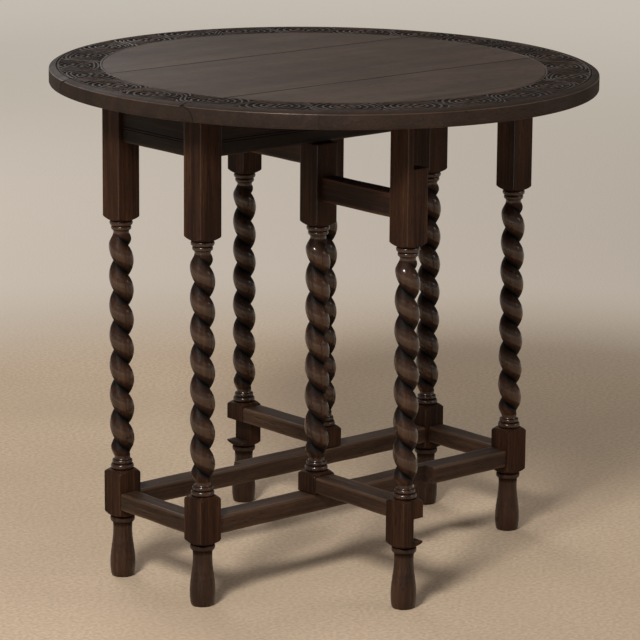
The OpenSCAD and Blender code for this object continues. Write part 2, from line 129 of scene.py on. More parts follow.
def box_cutter(lo, hi):
    """Plain box used only to cut other pieces, in millimetres."""
    lo, hi = np.asarray(lo, float), np.asarray(hi, float)
    corners = [(x, y, z) for z in (lo[2], hi[2]) for y in (lo[1], hi[1]) for x in (lo[0], hi[0])]
    faces = [(0, 2, 3, 1), (4, 5, 7, 6), (0, 1, 5, 4), (2, 6, 7, 3), (0, 4, 6, 2), (1, 3, 7, 5)]
    return make_object("cutter", corners, faces)


def prism_x(outline_yz, half_x):
    """Prism along X over a closed outline of (y, z) points, in millimetres."""
    n = len(outline_yz)
    verts = [(x, y, z) for x in (-half_x, half_x) for y, z in outline_yz]
    faces = [[i, (i + 1) % n, n + (i + 1) % n, n + i] for i in range(n)]
    faces.append(list(range(n))[::-1])
    faces.append([n + i for i in range(n)])
    obj = make_object("cutter", verts, faces)
    if signed_area(outline_yz) < 0:
        obj.data.flip_normals()
    return obj


def signed_area(points):
    """Area of a closed outline, positive when it runs counter-clockwise."""
    p = np.asarray(points)
    q = np.roll(p, -1, axis=0)
    return float(np.sum(p[:, 0] * q[:, 1] - q[:, 0] * p[:, 1]) / 2)


def boolean(obj, cutter, operation):
    """Applies a boolean of obj with the cutter, and deletes the cutter.

    The cutter carries the same vertex attributes, so that cut faces count as plain wood.
    """
    for name, value in PLAIN.items():
        if name in obj.data.attributes:
            with_attribute(cutter, name, np.full(len(cutter.data.vertices), value))
    mod = obj.modifiers.new("cut", "BOOLEAN")
    mod.operation = operation
    mod.object = cutter
    mod.solver = "MANIFOLD"
    depsgraph = bpy.context.evaluated_depsgraph_get()
    mesh = bpy.data.meshes.new_from_object(obj.evaluated_get(depsgraph))
    obj.modifiers.clear()
    obj.data = mesh
    bpy.data.objects.remove(cutter)
    mend_attributes(mesh)
    return obj


def mend_attributes(mesh):
    """Fills the numbers that a boolean leaves at 0 on its new vertices.

    They come from the neighbours that have them, and far from any such neighbour they are plain.
    """
    layers = {n: mesh.attributes[n] for n in PLAIN if n in mesh.attributes}
    count = len(mesh.vertices)
    ends = np.zeros(2 * len(mesh.edges), np.int32)
    mesh.edges.foreach_get("vertices", ends)
    ends = ends.reshape(-1, 2)
    values = {}
    for name, layer in layers.items():
        values[name] = np.zeros(count, np.float32)
        layer.data.foreach_get("value", values[name])
    known = values["wear_and_shading"] > 0
    for _ in range(MEND_ROUNDS):
        weight = np.zeros(count)
        for a, b in (ends.T, ends[:, ::-1].T):
            np.add.at(weight, a, known[b])
        fill = ~known & (weight > 0)
        for name in layers:
            total = np.zeros(count)
            for a, b in (ends.T, ends[:, ::-1].T):
                np.add.at(total, a, values[name][b] * known[b])
            values[name][fill] = total[fill] / weight[fill]
        known = known | fill
    for name, layer in layers.items():
        values[name][~known] = PLAIN[name]
        layer.data.foreach_set("value", values[name].astype(np.float32))


def stand_in(obj, node, slot, material, *more_nodes):
    """Puts a made piece in place of a CAD node, and of any further nodes, on the same body."""
    obj.data.materials.clear()
    obj.data.materials.append(material)
    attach(obj, frame["nodes"][node]["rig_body"])
    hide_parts(node, *more_nodes)
    return obj


# ---------------------------------------------------------------- materials


def new_material(name):
    """Material with one Principled shader; returns the material, its tree and the shader."""
    mat = bpy.data.materials.new(name)
    mat.use_nodes = True
    tree = mat.node_tree
    tree.nodes.clear()
    out = tree.nodes.new("ShaderNodeOutputMaterial")
    shader = tree.nodes.new("ShaderNodeBsdfPrincipled")
    tree.links.new(shader.outputs["BSDF"], out.inputs["Surface"])
    return mat, tree, shader


def node_of(tree, kind, **values):
    """New node with attributes and input values set by name."""
    node = tree.nodes.new(kind)
    for key, value in values.items():
        if hasattr(node, key):
            setattr(node, key, value)
        else:
            node.inputs[key.replace("_", " ").title()].default_value = value
    return node


def noise(tree, coords, scale_xyz, offset, detail=4.0, roughness=0.55, distortion=0.0):
    """Noise texture over stretched coordinates; returns its value socket."""
    mapping = tree.nodes.new("ShaderNodeMapping")
    mapping.inputs["Scale"].default_value = scale_xyz
    mapping.inputs["Location"].default_value = offset
    tree.links.new(coords, mapping.inputs["Vector"])
    tex = node_of(tree, "ShaderNodeTexNoise", detail=detail, roughness=roughness,
                  distortion=distortion)
    tex.inputs["Scale"].default_value = 1.0
    tree.links.new(mapping.outputs["Vector"], tex.inputs["Vector"])
    return tex.outputs["Fac"]


def ramp(tree, value, low, high, out_low=0.0, out_high=1.0):
    """Smooth map of a value range to another range."""
    node = tree.nodes.new("ShaderNodeMapRange")
    node.interpolation_type = "SMOOTHSTEP"
    for key, number in (("From Min", low), ("From Max", high), ("To Min", out_low),
                        ("To Max", out_high)):
        node.inputs[key].default_value = number
    tree.links.new(value, node.inputs["Value"])
    return node.outputs["Result"]


def mix(tree, factor, a, b):
    """Colour mix; the factor, a and b are sockets or constants."""
    node = tree.nodes.new("ShaderNodeMix")
    node.data_type = "RGBA"
    for socket, value in ((node.inputs[0], factor), (node.inputs[6], a), (node.inputs[7], b)):
        if isinstance(value, bpy.types.NodeSocket):
            tree.links.new(value, socket)
        else:
            socket.default_value = value
    return node.outputs[2]


def math_node(tree, operation, a, b=0.0):
    """Maths node; a and b are sockets or constants."""
    node = tree.nodes.new("ShaderNodeMath")
    node.operation = operation
    for socket, value in ((node.inputs[0], a), (node.inputs[1], b)):
        if isinstance(value, bpy.types.NodeSocket):
            tree.links.new(value, socket)
        else:
            socket.default_value = value
    return node.outputs[0]


def attribute(tree, name):
    """Value socket of a mesh attribute."""
    node = tree.nodes.new("ShaderNodeAttribute")
    node.attribute_name = name
    return node.outputs["Fac"]


def add_bump(tree, shader, height, strength, distance):
    """Bump from a height socket, with its distance in metres."""
    bump = tree.nodes.new("ShaderNodeBump")
    bump.inputs["Strength"].default_value = strength
    bump.inputs["Distance"].default_value = distance
    tree.links.new(height, bump.inputs["Height"])
    tree.links.new(bump.outputs["Normal"], shader.inputs["Normal"])


def srgb(r, g, b):
    """Linear colour from 0-255 sRGB numbers."""
    def line(c):
        c /= 255
        return c / 12.92 if c <= 0.04045 else ((c + 0.055) / 1.055) ** 2.4
    return (line(r), line(g), line(b), 1.0)


def stretched(axis, along, across):
    """Noise scale per metre with the grain along one axis."""
    return tuple(along if i == axis else across for i in range(3))


def oak(name, axis, dark, mid, light, seed, gloss=0.4, wear_and_shading="wear_and_shading", relief=None, specular=0.25,
        coat=0.0, edge=0.4, groove=0.55):
    """Stained oak: growth figure, open pores along the grain, handling wear and a satin polish.

    axis is the grain direction; the wear and relief arguments name the mesh attributes for wear and
    for carving ("carve"), or are None. coat is the polish on crests, edge how far they lighten (on the
    top's arris a painted highlight), and groove the wear value below which the wood darkens: painted
    shade in grooves and creases. Low carve values darken it too: painted shade on the carving's
    ground and on the top's margin and rim.
    """
    mat, tree, shader = new_material(name)
    coords = node_of(tree, "ShaderNodeTexCoord").outputs["Object"]
    rng = np.random.default_rng(SEED + seed)
    shift = tuple(float(v) for v in rng.uniform(-20, 20, 3))
    figure = noise(tree, coords, stretched(axis, 2.2, 26), shift, 5.0, 0.6, 0.6)
    streak = noise(tree, coords, stretched(axis, 7, 210), shift, 3.0, 0.6, 0.2)
    pores = noise(tree, coords, stretched(axis, 60, 900), shift, 2.0, 0.5)
    cloud = noise(tree, coords, (7, 7, 7), shift, 3.0, 0.5)
    colour = mix(tree, ramp(tree, figure, 0.34, 0.66), dark, mid)
    colour = mix(tree, ramp(tree, streak, 0.45, 0.75, 0.0, 0.4), colour, light)
    colour = mix(tree, ramp(tree, cloud, 0.35, 0.7, 0.0, 0.45), colour, dark)
    pore_mask = ramp(tree, pores, 0.56, 0.66, 0.0, 0.7)
    # Near-black for the dark pores, and for the painted shade in grooves and creases.
    pore_dark_and_shade = srgb(14, 9, 7)
    colour = mix(tree, pore_mask, colour, pore_dark_and_shade)
    rough = ramp(tree, cloud, 0.3, 0.7, gloss - 0.05, gloss + 0.09)
    polish = None
    if wear_and_shading:
        worn = attribute(tree, wear_and_shading)
        crest = ramp(tree, worn, 0.05, groove)
        # Darkened where the wear value is low: painted shade in grooves and creases.
        colour = mix(tree, math_node(tree, "SUBTRACT", 1.0, crest), colour, pore_dark_and_shade)
        # Lighter on crests and eased edges: handling wear; on the top's arris, a painted highlight.
        colour = mix(tree, ramp(tree, worn, 0.7, 1.0, 0.0, edge), colour, light)
        rough = math_node(tree, "ADD", rough, ramp(tree, worn, 0.6, 0.85, 0.2, 0.0))
        polish = ramp(tree, worn, 0.62, 0.74, 0.0, coat)
    if relief:
        raised = attribute(tree, relief)
        # Darkened where the carve value is low: painted shade on the carving's ground, margin and rim.
        colour = mix(tree, ramp(tree, raised, 0.45, 1.0, 1.0, 0.0), colour, srgb(6, 4, 3))
        rough = math_node(tree, "ADD", rough, ramp(tree, raised, 0.3, 0.95, 0.6, 0.0))
    tree.links.new(colour, shader.inputs["Base Color"])
    tree.links.new(rough, shader.inputs["Roughness"])
    shader.inputs["Specular IOR Level"].default_value = specular
    shader.inputs["Coat Roughness"].default_value = 0.17
    if polish is None:
        shader.inputs["Coat Weight"].default_value = coat
    else:
        tree.links.new(polish, shader.inputs["Coat Weight"])
    height = math_node(tree, "ADD", math_node(tree, "MULTIPLY", pore_mask, -0.6),
                       math_node(tree, "MULTIPLY", streak, 0.5))
    height = math_node(tree, "ADD", height, math_node(tree, "MULTIPLY", cloud, 1.2))
    add_bump(tree, shader, height, 0.35, 0.0012)
    return mat


def iron(name, seed):
    """Old wrought iron: dark, mottled, a little rust in the hollows."""
    mat, tree, shader = new_material(name)
    coords = node_of(tree, "ShaderNodeTexCoord").outputs["Object"]
    spots = noise(tree, coords, (180, 180, 180), (seed, 0, 0), 5.0, 0.6)
    rust = noise(tree, coords, (60, 60, 60), (0, seed, 0), 4.0, 0.6)
    colour = mix(tree, ramp(tree, spots, 0.35, 0.65), srgb(38, 36, 36), srgb(72, 68, 66))
    rust_mask = ramp(tree, rust, 0.5, 0.66)
    colour = mix(tree, rust_mask, colour, srgb(74, 46, 30))
    tree.links.new(colour, shader.inputs["Base Color"])
    tree.links.new(math_node(tree, "SUBTRACT", 0.85, math_node(tree, "MULTIPLY", rust_mask, 0.7)),
                   shader.inputs["Metallic"])
    tree.links.new(ramp(tree, spots, 0.3, 0.7, 0.42, 0.66), shader.inputs["Roughness"])
    add_bump(tree, shader, spots, 0.4, 0.0006)
    return mat


def carpet(name):
    """Plain pale floor with a fine loop texture; far away it is painted paler and glows by itself:
    painted light.
    """
    mat, tree, shader = new_material(name)
    coords = node_of(tree, "ShaderNodeTexCoord").outputs["Object"]
    loops = noise(tree, coords, (160, 160, 160), (0, 0, 0), 2.0, 0.5)
    cloud = noise(tree, coords, (3, 3, 3), (4, 0, 0), 2.0, 0.5)
    near = mix(tree, ramp(tree, loops, 0.3, 0.7), srgb(200, 178, 153), srgb(220, 198, 174))
    near = mix(tree, ramp(tree, cloud, 0.3, 0.7, 0.0, 0.3), near, srgb(190, 168, 144))
    length = node_of(tree, "ShaderNodeVectorMath", operation="LENGTH")
    tree.links.new(coords, length.inputs[0])
    # Paler far from the table: painted light.
    far = ramp(tree, length.outputs["Value"], 1.1, 2.0)
    colour = mix(tree, far, near, srgb(232, 222, 210))
    tree.links.new(colour, shader.inputs["Base Color"])
    # Far away the floor glows by itself: painted light.
    glow = ramp(tree, length.outputs["Value"], 1.6, 6.5)
    tree.links.new(mix(tree, glow, (0, 0, 0, 1), (0.36, 0.34, 0.30, 1)),
                   shader.inputs["Emission Color"])
    shader.inputs["Emission Strength"].default_value = 1.0
    shader.inputs["Roughness"].default_value = 0.9
    shader.inputs["Specular IOR Level"].default_value = 0.2
    add_bump(tree, shader, loops, 0.5, 0.002)
    return mat


# ---------------------------------------------------------------- turned work

COLS = 72                    # columns of vertices round a leg
BLOCK_HALF = 19.0
CORNER_ROUND = 50            # exponent of the rounded square section
CORNER_PULL, CORNER_REACH = 0.55, 0.16    # how far columns close up on an arris, and from where
ARRIS_REACH, ARRIS_WEAR = 0.05, 0.12
BLOCK_DRIFT = 0.25           # how much thinner an end of a hand-planed block may be
SHOULDER_H = 7
SHOULDER_OUT = 1.45          # where the shoulder's curve would end, in half-widths
COLLAR_LEN = 19
RING_R, RING_BASE_R, RING_HALF, RING_END = 17, 13.2, 4.2, 8.4
BEAD_RISE, BEAD_BASE_R, BEAD_MID, BEAD_HALF, BEAD_END = 2.2, 12.6, 11.5, 3.1, 14.6
NECK_R = 11.5
TWIST_R = (9.0, 18.0)        # bottom of the groove, crest of the bine
TWIST_PITCH = 44.0
TWIST_RAMP = 17.0            # length over which the twist rises out of the neck
TWIST_ROW = 2.6              # height between rows of vertices
BINE_FULLNESS = 0.72         # exponent of the bine's section; less is fatter
# The crease value is low, so that the oak paints shade into the collars' creases.
LATHE_WEAR, CREASE_SHADE = 0.8, 0.2
# The foot's crease value is low too: painted shade in its creases.
FOOT_WEAR, FOOT_CREASE_SHADE = 0.68, 0.3
FOOT_PROFILE = [
    (0, 15.2), (0.9, 16.4), (4, 17.3), (11, 18.2), (19, 18.5), (29, 18.2), (39, 17.1), (49, 15.7),
    (58, 14.6), (66, 14.0), (74, 13.9), (79.5, 14.2), (82.0, 14.6), (82.8, 16.4), (84.2, 17.6),
    (86.5, 18.0), (88.8, 17.8), (90.2, 16.9), (91.0, 15.4), (92, 15.2),
]


def square_radius(theta, half):
    """Radius of a square section with rounded arrises."""
    c, s = np.abs(np.cos(theta)), np.abs(np.sin(theta))
    return half / (c ** CORNER_ROUND + s ** CORNER_ROUND) ** (1 / CORNER_ROUND)


def smooth(t):
    """Smooth step from 0 to 1."""
    t = np.clip(t, 0, 1)
    return t * t * (3 - 2 * t)


def hump(dist, half):
    """Rounded ridge, 1 on its line and 0 past its half-width."""
    return np.sqrt(np.clip(1 - (dist / half) ** 2, 0, 1))


def collar_radius(t):
    """Collar profile by distance from the block: ring, bead, cove into the neck."""
    ring = RING_BASE_R + (RING_R - RING_BASE_R) * hump(t - RING_HALF, RING_HALF)
    bead = BEAD_BASE_R + BEAD_RISE * hump(t - BEAD_MID, BEAD_HALF)
    neck = BEAD_BASE_R - (BEAD_BASE_R - NECK_R) * smooth((t - BEAD_END) / 2)
    return np.where(t < RING_END, ring, np.where(t < BEAD_END, bead, neck))


class Shaft:
    """Rows of a turned and twisted leg, built upwards: height, column angles, radii, wear."""

    def __init__(self, half, rng):
        self.half = half
        self.rng = rng
        self.base = np.arange(COLS) * TAU / COLS
        self.turn = 0.0
        self.rows = []

    def add(self, z, radius, wear_and_shading, pull=0.0):
        """One row; pull moves its columns round the axis."""
        theta = self.base + self.turn + pull
        row = (np.broadcast_to(value, (COLS,)) for value in (radius, wear_and_shading))
        self.rows.append((z, theta, *row))

    def corner_columns(self):
        """How far each column closes up on its nearest arris, and how near it is, 0 to 1."""
        quarter = (self.base + self.turn + TAU / 8) % (TAU / 4) - TAU / 8
        near = np.abs(quarter) - TAU / 8
        reach = np.exp(-((near / CORNER_REACH) ** 2))
        pull = -np.sign(quarter) * near * CORNER_PULL * reach
        return pull, np.exp(-((near / ARRIS_REACH) ** 2))

    def block(self, z0, z1, low, high):
        """Square block with a turned shoulder at each end that is asked for."""
        ease = [0.0, 0.5, 1.1, 1.9, 2.9, 4.1, 5.4, SHOULDER_H, SHOULDER_H + 2.5]
        plain = [0.0, 0.4, 1.0, 2.0]
        body = np.linspace(z0 + 12, z1 - 12, max(3, int((z1 - z0) / 14)))
        lower = [z0 + e for e in (ease if low else plain)]
        upper = [z1 - e for e in (ease if high else plain)][::-1]
        pull, arris = self.corner_columns()
        square = square_radius(self.base + self.turn + pull, self.half)
        wear_and_shading = PLAIN_WEAR + ARRIS_WEAR * arris
        drift = self.rng.uniform(-BLOCK_DRIFT, 0.0, 2)
        for z in [*lower, *body, *upper]:
            fade = (z - z0) / (z1 - z0)
            radius = square + drift[0] * (1 - fade) + drift[1] * fade
            for wanted, gap in ((low, z - z0), (high, z1 - z)):
                if wanted and gap < SHOULDER_H:
                    rise = math.sin(math.pi / 2 * gap / SHOULDER_H)
                    limit = RING_R + (self.half * SHOULDER_OUT - RING_R) * rise
                    radius = np.minimum(radius, limit)
                elif not wanted and gap < 1.0:
                    radius = radius - (1.0 - gap) * 0.8
            self.add(z, radius, wear_and_shading, pull)

    def collar(self, block_z, up):
        """Collar against the block at block_z, going up to a twist or coming down from one."""
        steps = np.array([0.02, 0.4, 1.2, 2.5, 4.2, 5.9, 7.2, 8.0, 8.38, 8.6, 9.3, 10.3, 11.5, 12.7,
                          13.7, 14.3, 14.6, 15.4, 16.6, 17.8, 19.0])
        for t in (steps if up else steps[::-1]):
            crease = t < 0.5 or RING_END - 0.5 < t < RING_END + 0.6 or BEAD_END - 0.6 < t < BEAD_END + 0.4
            # A crease gets the low value: painted shade.
            wear_and_shading = CREASE_SHADE if crease else LATHE_WEAR
            self.add(block_z + t if up else block_z - t, float(collar_radius(t)), wear_and_shading)

    def twist(self, z0, z1):
        """Left-hand single twist; the columns turn with it, so that the groove stays sharp."""
        length = z1 - z0
        turns = -round(COLS * length / TWIST_PITCH) / COLS
        start = self.turn
        shape = np.sin(self.base / 2) ** BINE_FULLNESS
        groove_r, crest_r = TWIST_R
        bine = groove_r + (crest_r - groove_r) * shape
        count = int(length / TWIST_ROW)
        for i in range(1, count):
            f = i / count
            z = z0 + f * length
            near_end = min(z - z0, z1 - z)
            env = smooth(near_end / TWIST_RAMP) ** 0.6
            radius = NECK_R + (bine - NECK_R) * env
            wear_and_shading = 0.75 + (shape - 0.75) * env
            self.turn = start + turns * TAU * f
            # The groove between the bines gets low values: painted shade.
            self.add(z, radius, np.clip(wear_and_shading, 0.02, 1) ** 1.9)
        self.turn = start + turns * TAU

    def foot(self):
        """Vase foot from the floor to the lower block, with its outline rounded between points."""
        zs, rs = zip(*FOOT_PROFILE)
        fine = np.unique(np.concatenate([zs, np.linspace(8, 76, 18)]))
        radii = np.interp(fine, zs, rs)
        for _ in range(2):
            inner = (radii[:-2] + 2 * radii[1:-1] + radii[2:]) / 4
            keep = (fine[1:-1] > 4) & (fine[1:-1] < 76)
            radii[1:-1] = np.where(keep, inner, radii[1:-1])
        for z, r in zip(fine, radii):
            # The foot's creases get the low value: painted shade.
            self.add(z, r, FOOT_CREASE_SHADE if 79 < z < 83 or z > 90 else FOOT_WEAR)

    def build(self, name, centre):
        """Closed mesh of all the rows, about a vertical axis through the centre."""
        rings = np.zeros((len(self.rows), COLS, 3))
        wear_and_shading = np.zeros((len(self.rows), COLS))
        for i, (z, theta, radius, w) in enumerate(self.rows):
            rings[i, :, 0] = centre[0] + radius * np.cos(theta)
            rings[i, :, 1] = centre[1] + radius * np.sin(theta)
            rings[i, :, 2] = z
            wear_and_shading[i] = w
        return with_attribute(tube(name, rings, 40), "wear_and_shading", wear_and_shading)


LOW_BLOCK = (92, 162)
LEG_BLOCK_Z = 532
GATE_BLOCK_Z = 527
TONGUE, TONGUE_Z = 10.5, (638.0, 760.0)    # what the upper notch leaves, and its heights
LAP, LAP_Z = 20.0, (99.0, 134.0)           # the same for the notch over the stretcher
PAST = 5                                   # how far a cutter reaches past the piece


def shaft_above(shaft, block_z, top_z):
    """Collar, twist, collar and upper block above the lower block."""
    shaft.collar(LOW_BLOCK[1], True)
    shaft.twist(LOW_BLOCK[1] + COLLAR_LEN, block_z - COLLAR_LEN)
    shaft.collar(block_z, False)
    shaft.block(block_z, top_z, True, False)


def turned_piece(node, seed, block_z, has_foot):
    """A leg or post of the frame or a gate, standing where its CAD node stands."""
    lo, hi = box_mm(node)
    centre = ((lo[0] + hi[0]) / 2, (lo[1] + hi[1]) / 2)
    shaft = Shaft(BLOCK_HALF, np.random.default_rng(SEED + seed))
    if has_foot:
        shaft.foot()
        shaft.block(*LOW_BLOCK, True, True)
    else:
        shaft.block(lo[2], LOW_BLOCK[1], False, True)
    shaft_above(shaft, block_z, hi[2])
    return shaft.build("v_" + node, centre)


def leg(node, seed, material):
    """Leg of the frame."""
    obj = turned_piece(node, seed, LEG_BLOCK_Z, True)
    return stand_in(obj, node, "oak_frame", material)


def gate_post(node, seed, material):
    """Pivot post of a gate, which ends below at its lower block."""
    obj = turned_piece(node, seed, GATE_BLOCK_Z, False)
    return stand_in(obj, node, "oak_frame", material)


def gate_leg(node, side, seed, material):
    """Gate leg, notched above round the apron and below round the long stretcher."""
    lo, hi = box_mm(node)
    obj = turned_piece(node, seed, GATE_BLOCK_Z, True)
    for keep, (z0, z1) in ((TONGUE, TONGUE_Z), (LAP, LAP_Z)):
        x0, x1 = (lo[0] + keep, hi[0] + PAST) if side < 0 else (lo[0] - PAST, hi[0] - keep)
        boolean(obj, box_cutter((x0, lo[1] - PAST, z0), (x1, hi[1] + PAST, z1)), "DIFFERENCE")
    obj.data.set_sharp_from_angle(angle=math.radians(40))
    return stand_in(obj, node, "oak_frame", material)


# ---------------------------------------------------------------- rails

EDGE_BAND = 2.5            # width of the worn strip beside an edge
SCRATCH_Z = 21.5           # height of the scratched bead above an apron's lower edge
APRON_EDGE, STRETCHER_EDGE, RAIL_EDGE = 1.4, 2.6, 2.2
END_INSET, END_EASE = 0.7, 1.4
NOTCH_X, NOTCH_HALF, NOTCH_DEEP = 104.0, 27.0, 18.0
LONG_TENON = 16.0
END_TENON = 18.0
GATE_TENON = 12.0
OVERLAP = 0.3              # how far a rail's end is let into the leg beside it


def rounded_section(w, h, r, groove_side=0, groove_z=None, steps=4):
    """Outline of a w x h board with eased edges, and how worn each point of it is.

    The outline is centred on the width, with the height from 0; groove_side is -1 or 1 where a
    line is scratched along that face.
    """
    corners = [(w / 2 - r, r, -90), (w / 2 - r, h - r, 0), (-w / 2 + r, h - r, 90),
               (-w / 2 + r, r, 180)]
    points, worn = [], []
    for index, (cx, cz, a0) in enumerate(corners):
        if (index, groove_side) in ((1, 1), (3, -1)):
            side = 1 if index == 1 else -1
            line = scratch(side * w / 2, groove_z, side)
            points += line if side > 0 else line[::-1]
            worn += [PLAIN_WEAR] * len(line)
        for k in range(-1, steps + 2):
            turn = math.radians(a0 + 90 * min(max(k, 0), steps) / steps)
            x, z = cx + r * math.cos(turn), cz + r * math.sin(turn)
            beside = -EDGE_BAND if k < 0 else EDGE_BAND if k > steps else 0.0
            points.append((x + beside * math.cos(turn + TAU / 4), z + beside * math.sin(turn + TAU / 4)))
            worn.append(PLAIN_WEAR if k in (-1, steps + 1) else EDGE_WEAR)
    return np.array(points), np.array(worn)


def scratch(x, z, side):
    """Points, upwards, of a small scratched bead: two quirks with a rounded line between."""
    profile = [(0.0, -2.6), (0.9, -2.1), (0.9, -1.7), (0.15, -0.9), (0.0, 0.0), (0.15, 0.9),
               (0.9, 1.7), (0.9, 2.1), (0.0, 2.6)]
    return [(x - side * depth, z + dz) for depth, dz in profile]


def board(name, axis, lo, hi, radius, rng, groove_side=0, groove_z=None, wave=0.25):
    """Board along X or Y (axis 0 or 1) with eased, slightly uneven edges."""
    lo, hi = np.asarray(lo, float), np.asarray(hi, float)
    other = 1 - axis
    w, h = hi[other] - lo[other], hi[2] - lo[2]
    section, worn = rounded_section(w, h, radius, groove_side, groove_z)
    length = hi[axis] - lo[axis]
    body = np.linspace(4, length - 4, max(6, int(length / 14)))
    stations = np.unique(np.concatenate([[0, 0.5, END_EASE], body,
                                         [length - END_EASE, length - 0.5, length]]))
    phase = rng.uniform(0, TAU, 4)
    rings = np.zeros((len(stations), len(section), 3))
    for i, s in enumerate(stations):
        end = min(s, length - s)
        inset = END_INSET * (1 - min(1.0, end / END_EASE)) ** 2
        sway_w = wave * (math.sin(s / 61 + phase[0]) + math.sin(s / 23 + phase[1])) / 2
        sway_h = wave * (math.sin(s / 47 + phase[2]) + math.sin(s / 19 + phase[3])) / 2
        sx = (w / 2 - inset - abs(sway_w)) / (w / 2)
        sz = (h / 2 - inset - abs(sway_h)) / (h / 2)
        rings[i, :, axis] = lo[axis] + s
        rings[i, :, other] = (lo[other] + hi[other]) / 2 + section[:, 0] * sx
        rings[i, :, 2] = lo[2] + h / 2 + (section[:, 1] - h / 2) * sz
    wear_and_shading = np.tile(worn, (len(stations), 1))
    wear_and_shading[[0, 1, -2, -1]] = EDGE_WEAR
    if axis == 1:
        rings, wear_and_shading = rings[:, ::-1], wear_and_shading[:, ::-1]
    return with_attribute(tube(name, rings, 40), "wear_and_shading", wear_and_shading)


def between_legs(lo, hi, axis, cut):
    """A rail's box without its tenons: shortened to run between the leg faces."""
    lo, hi = lo.copy(), hi.copy()
    lo[axis] += cut
    hi[axis] -= cut
    return lo, hi


def tenon_length(axis):
    """Tenon of a rail of the frame, less the overlap: along X or Y (axis 0 or 1)."""
    return (LONG_TENON if axis == 0 else END_TENON) - OVERLAP


def apron(node, axis, side, seed, material):
    """Apron board with a bead scratched along its outer face."""
    lo, hi = between_legs(*box_mm(node), axis, tenon_length(axis))
    rng = np.random.default_rng(SEED + seed)
    obj = board("v_" + node, axis, lo, hi, APRON_EDGE, rng, side, SCRATCH_Z)
    return stand_in(obj, node, "oak_frame", material)


def stretcher(node, axis, side, seed, material):
    """Floor stretcher; a long one is notched outside, where the closed gate leg laps it."""
    lo, hi = between_legs(*box_mm(node), axis, tenon_length(axis))
    rng = np.random.default_rng(SEED + seed)
    obj = board("v_" + node, axis, lo, hi, STRETCHER_EDGE, rng, wave=0.5)
    if axis == 0:
        middle = -side * NOTCH_X
        y0, y1 = (lo[1] - 2 * PAST, lo[1] + NOTCH_DEEP) if side < 0 else (hi[1] - NOTCH_DEEP,
                                                                          hi[1] + 2 * PAST)
        boolean(obj, box_cutter((middle - NOTCH_HALF, y0, lo[2] - PAST),
                                (middle + NOTCH_HALF, y1, hi[2] + PAST)), "DIFFERENCE")
        obj.data.set_sharp_from_angle(angle=math.radians(40))
    return stand_in(obj, node, "oak_frame", material)


def gate_board(node, seed, radius, material):
    """Rail or stretcher of a gate."""
    lo, hi = between_legs(*box_mm(node), 1, GATE_TENON - OVERLAP)
    obj = board("v_" + node, 1, lo, hi, radius, np.random.default_rng(SEED + seed), wave=0.4)
    return stand_in(obj, node, "oak_frame", material)


# ---------------------------------------------------------------- carved top

TOP_A, TOP_B = 393.0, 410.0          # half-lengths of the oval along X and Y
TOP_Z = 737.0
TOP_UNDER = 712.0
ROUND_COLS, QUICK_COLS = 2160, 720   # columns of vertices round the oval
BAND_ROWS, QUICK_BAND_ROWS = 54, 28
BAND_OUT, BAND_IN = 14.0, 75.0       # carved band, as distance in from the edge
GROUND = 1.7                         # depth of the carved ground
ROUNDELS = 12                        # on each half of the border
UNIT = 93.5                          # length of one roundel's share of the band
WAVE_AMP, WAVE_STEEP = 25.0, 2.0     # reach of the strap each way, and how square its wave is
RING_FIRST, RING_STEP = 18.6, 8.6    # radius of the first ring of a roundel, and ring spacing
BAND_WALL = 1.3                      # width of the slope down into the border, on both sides
GROOVE_AT, GROOVE_DEEP = 11.3, 1.5   # groove outside the border
LINE_AT, LINE_DEEP = 77.6, 0.7       # fine line inside it
FIELD_AT = 78.5                      # where the plain field starts
THUMB_W, THUMB_DROP = 10.4, 4.0      # sloped margin outside the border
ARRIS_Z = TOP_Z - THUMB_DROP
# Carve values of the margin and the rim, which the oak paints darker: painted shade.
MARGIN_SHADE = 0.7                    # carve value of the sloped margin
RIM_SHADE = 0.7                       # and of the rim
# The arris value lightens the top's arris line: a painted highlight.
TOP_WEAR, RIM_WEAR, ARRIS_HIGHLIGHT = 0.7, 0.5, 0.85
RIM_PATCHES, PATCH_WEAR = 61, 0.1    # lighter and darker places in the polish round the rim


def carving(u, v):
    """Height of the carved border over its ground, 0 to 1; u counts roundels, v is mm outwards.

    A wave strap of two cords passes outside one roundel and inside the next. Each roundel holds
    a whorl of petals, and thin ridges echo its ring until they meet the strap.
    """
    cell = np.floor(u)
    way = np.where(cell % 2 == 0, 1.0, -1.0)
    phase = np.pi * u
    level = math.tanh(WAVE_STEEP)
    wave = WAVE_AMP * np.tanh(WAVE_STEEP * np.sin(phase)) / level
    slope = np.cos(phase) / np.cosh(WAVE_STEEP * np.sin(phase)) ** 2
    slope = slope * WAVE_AMP * WAVE_STEEP * np.pi / UNIT / level
    strap = np.abs(v - wave) / np.sqrt(1 + slope ** 2)
    cords = np.maximum(hump(strap - 3.0, 2.0), 0.25 * hump(strap, 3.0))
    x = (u - cell - 0.5) * UNIT
    y = v + 2.6 * way
    rho = np.hypot(x * 0.88, y)
    alpha = np.arctan2(y, x)
    clear = smooth((strap - 5.4) / 1.2)
    nearest = RING_STEP * np.clip(np.round((rho - RING_FIRST) / RING_STEP), 0, 9)
    rings = hump(np.abs(rho - RING_FIRST - nearest), 2.1)
    rings = np.where(rho > RING_FIRST + RING_STEP / 2, rings * clear, rings)
    swirl = alpha * 3 + rho * 0.12 * way + 0.7 * cell
    petal = np.abs(np.cos(swirl)) ** 0.7
    petal = petal * smooth((rho - 4.6) / 1.6) * smooth((15.0 - rho) / 1.6)
    boss = hump(rho, 3.6)
    return np.maximum.reduce([cords, rings, petal, boss])


def end_leaf(x, v):
    """Pointed leaf where the two halves of the border meet: a stem with veins both sides.

    Returns its height and how far a point is inside it, 0 to 1.
    """
    width = 10.0 * smooth((30 - np.abs(v)) / 34)
    inside = smooth((width + 5 - np.abs(x)) / 2)
    veins = np.abs(np.sin(0.55 * (np.abs(x) * 1.3 + v)))
    stem = hump(x, 1.8)
    return np.maximum(stem, veins) * inside, inside


